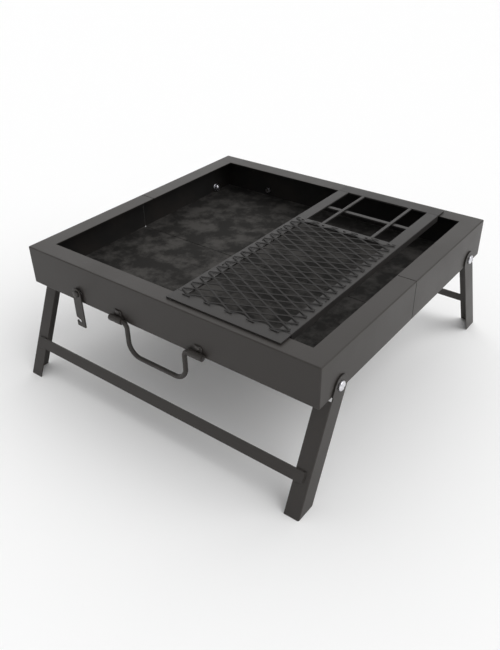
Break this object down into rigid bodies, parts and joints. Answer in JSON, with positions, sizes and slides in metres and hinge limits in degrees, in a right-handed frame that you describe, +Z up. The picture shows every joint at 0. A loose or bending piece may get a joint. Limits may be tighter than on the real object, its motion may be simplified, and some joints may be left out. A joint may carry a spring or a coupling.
{
  "type": "folding fire pit with grate",
  "caption": "Rectangular folding steel fire pit: two shallow half trays hinged at a middle seam on splayed folding leg frames, with a carrying handle, a latch hook and a cooking grate.",
  "frame": {"origin": "on the ground under the middle of the pit, at the bottom centre of its bounding box", "axes": "+Z up; -Y towards the side with the carrying handle and latch; +X towards the side where the grate lies; the fold seam runs along X at Y = 0"},
  "size_m": [0.615, 0.651, 0.253],
  "materials": {
    "painted_steel": "satin dark grey high-temperature powder coat",
    "grate_steel": "satin dark grey high-temperature coat, worn and heat-dulled",
    "dark_fastener": "black oxide",
    "zinc_plate": "bright zinc plate"
  },
  "bodies": {
    "front_half": {"front_left_pivot_bolt": "zinc_plate", "front_left_pivot_nut": "zinc_plate", "front_left_pivot_washer": "zinc_plate", "front_right_pivot_bolt": "zinc_plate", "front_right_pivot_nut": "zinc_plate", "front_right_pivot_washer": "zinc_plate", "front_tray": "painted_steel", "handle_left_bracket": "painted_steel", "handle_left_rivet": "dark_fastener", "handle_right_bracket": "painted_steel", "handle_right_rivet": "dark_fastener", "latch_pivot_bolt": "dark_fastener", "latch_pivot_nut": "zinc_plate", "latch_spacer": "zinc_plate", "left_hinge_front_leaf": "painted_steel", "right_hinge_front_leaf": "painted_steel"},
    "hinge_links": {"left_hinge_front_pin": "zinc_plate", "left_hinge_inner_link": "dark_fastener", "left_hinge_outer_link": "dark_fastener", "left_hinge_rear_pin": "zinc_plate", "right_hinge_front_pin": "zinc_plate", "right_hinge_inner_link": "dark_fastener", "right_hinge_outer_link": "dark_fastener", "right_hinge_rear_pin": "zinc_plate"},
    "rear_half": {"catch_stud_bolt": "dark_fastener", "catch_stud_nut": "zinc_plate", "left_hinge_rear_leaf": "painted_steel", "rear_left_pivot_bolt": "zinc_plate", "rear_left_pivot_nut": "zinc_plate", "rear_left_pivot_washer": "zinc_plate", "rear_right_pivot_bolt": "zinc_plate", "rear_right_pivot_nut": "zinc_plate", "rear_right_pivot_washer": "zinc_plate", "rear_tray": "painted_steel", "right_hinge_rear_leaf": "painted_steel"},
    "front_leg_frame": {"front_left_leg": "painted_steel", "front_leg_crossbar": "painted_steel", "front_right_leg": "painted_steel"},
    "rear_leg_frame": {"rear_left_leg": "painted_steel", "rear_leg_crossbar": "painted_steel", "rear_right_leg": "painted_steel"},
    "carry_handle": {"handle_bail": "painted_steel"},
    "latch": {"latch_hook": "painted_steel"},
    "grate": {"grate_cross_flat": "grate_steel", "grate_front_flat": "grate_steel", "grate_kettle_crossbar": "grate_steel", "grate_kettle_left_bar": "grate_steel", "grate_kettle_right_bar": "grate_steel", "grate_left_rail": "grate_steel", "grate_mesh": "grate_steel", "grate_rear_flat": "grate_steel", "grate_right_rail": "grate_steel"}
  },
  "joints": [
    {"name": "fold_at_front_pins", "type": "hinge", "parent": "front_half", "child": "hinge_links", "pos_m": [0, -0.0052, 0.1707], "axis": [-1, 0, 0], "range_deg": [0, 90]},
    {"name": "fold_at_rear_pins", "type": "hinge", "parent": "hinge_links", "child": "rear_half", "pos_m": [0, 0.0052, 0.1707], "axis": [-1, 0, 0], "range_deg": [0, 90]},
    {"name": "front_leg_fold", "type": "hinge", "parent": "front_half", "child": "front_leg_frame", "pos_m": [0, -0.2275, 0.188], "axis": [1, 0, 0], "range_deg": [0, 113.6]},
    {"name": "rear_leg_fold", "type": "hinge", "parent": "rear_half", "child": "rear_leg_frame", "pos_m": [0, 0.2275, 0.188], "axis": [-1, 0, 0], "range_deg": [0, 113.6]},
    {"name": "handle_swing", "type": "hinge", "parent": "front_half", "child": "carry_handle", "pos_m": [0, -0.2846, 0.1805], "axis": [-1, 0, 0], "range_deg": [-12, 170]},
    {"name": "latch_swing", "type": "hinge", "parent": "front_half", "child": "latch", "pos_m": [-0.181, -0.28235, 0.194], "axis": [0, 1, 0], "range_deg": [-90, 90]},
    {"name": "grate_slide", "type": "slide", "parent": "front_half", "child": "grate", "axis": [1, 0, 0], "range_m": [-0.28, 0.038]}
  ]
}
